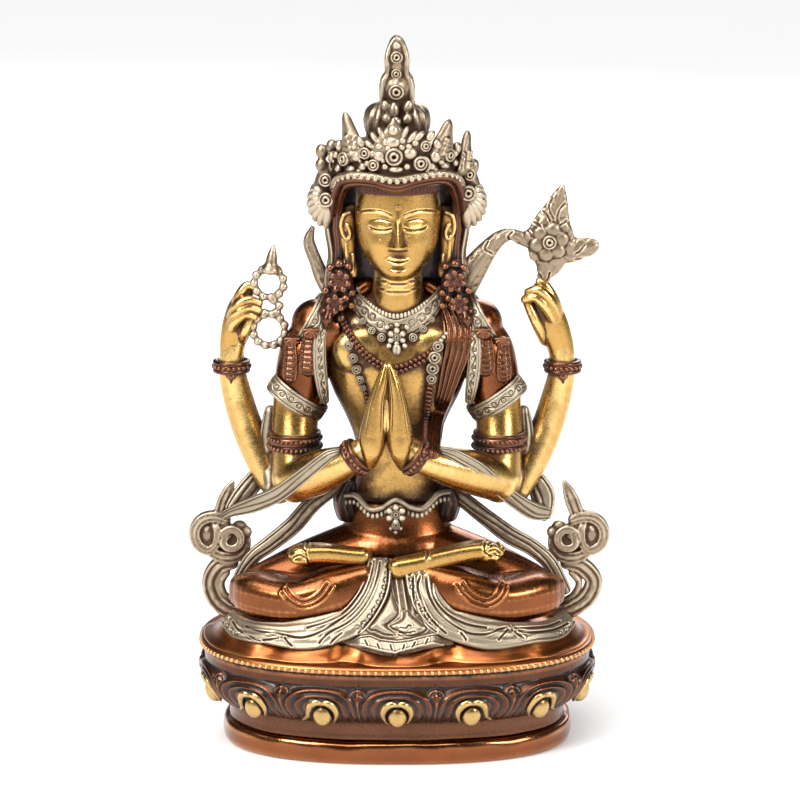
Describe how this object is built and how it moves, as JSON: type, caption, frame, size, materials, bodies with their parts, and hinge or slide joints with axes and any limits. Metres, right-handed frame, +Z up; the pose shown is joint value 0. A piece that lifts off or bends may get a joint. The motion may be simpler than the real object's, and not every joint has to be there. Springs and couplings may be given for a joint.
{
  "type": "avalokiteshvara statue",
  "caption": "Seated crowned bodhisattva in patinated cast brass, with joined hands, raised rosary and lotus, on an oval lotus base.",
  "frame": {"origin": "middle of the oval underside of the base", "axes": "+Z up, the figure looks along -Y, +X to the viewer's right"},
  "size_m": [0.1314, 0.0818, 0.2164],
  "materials": {
    "figure_brass": "lacquered, with silvered and coppered parts and dark recesses",
    "copper_brass": "lacquered dark copper patina with gold petal tips"
  },
  "bodies": {
    "root": {"figure": "figure_brass", "lotus_base": "copper_brass"}
  },
  "joints": []
}
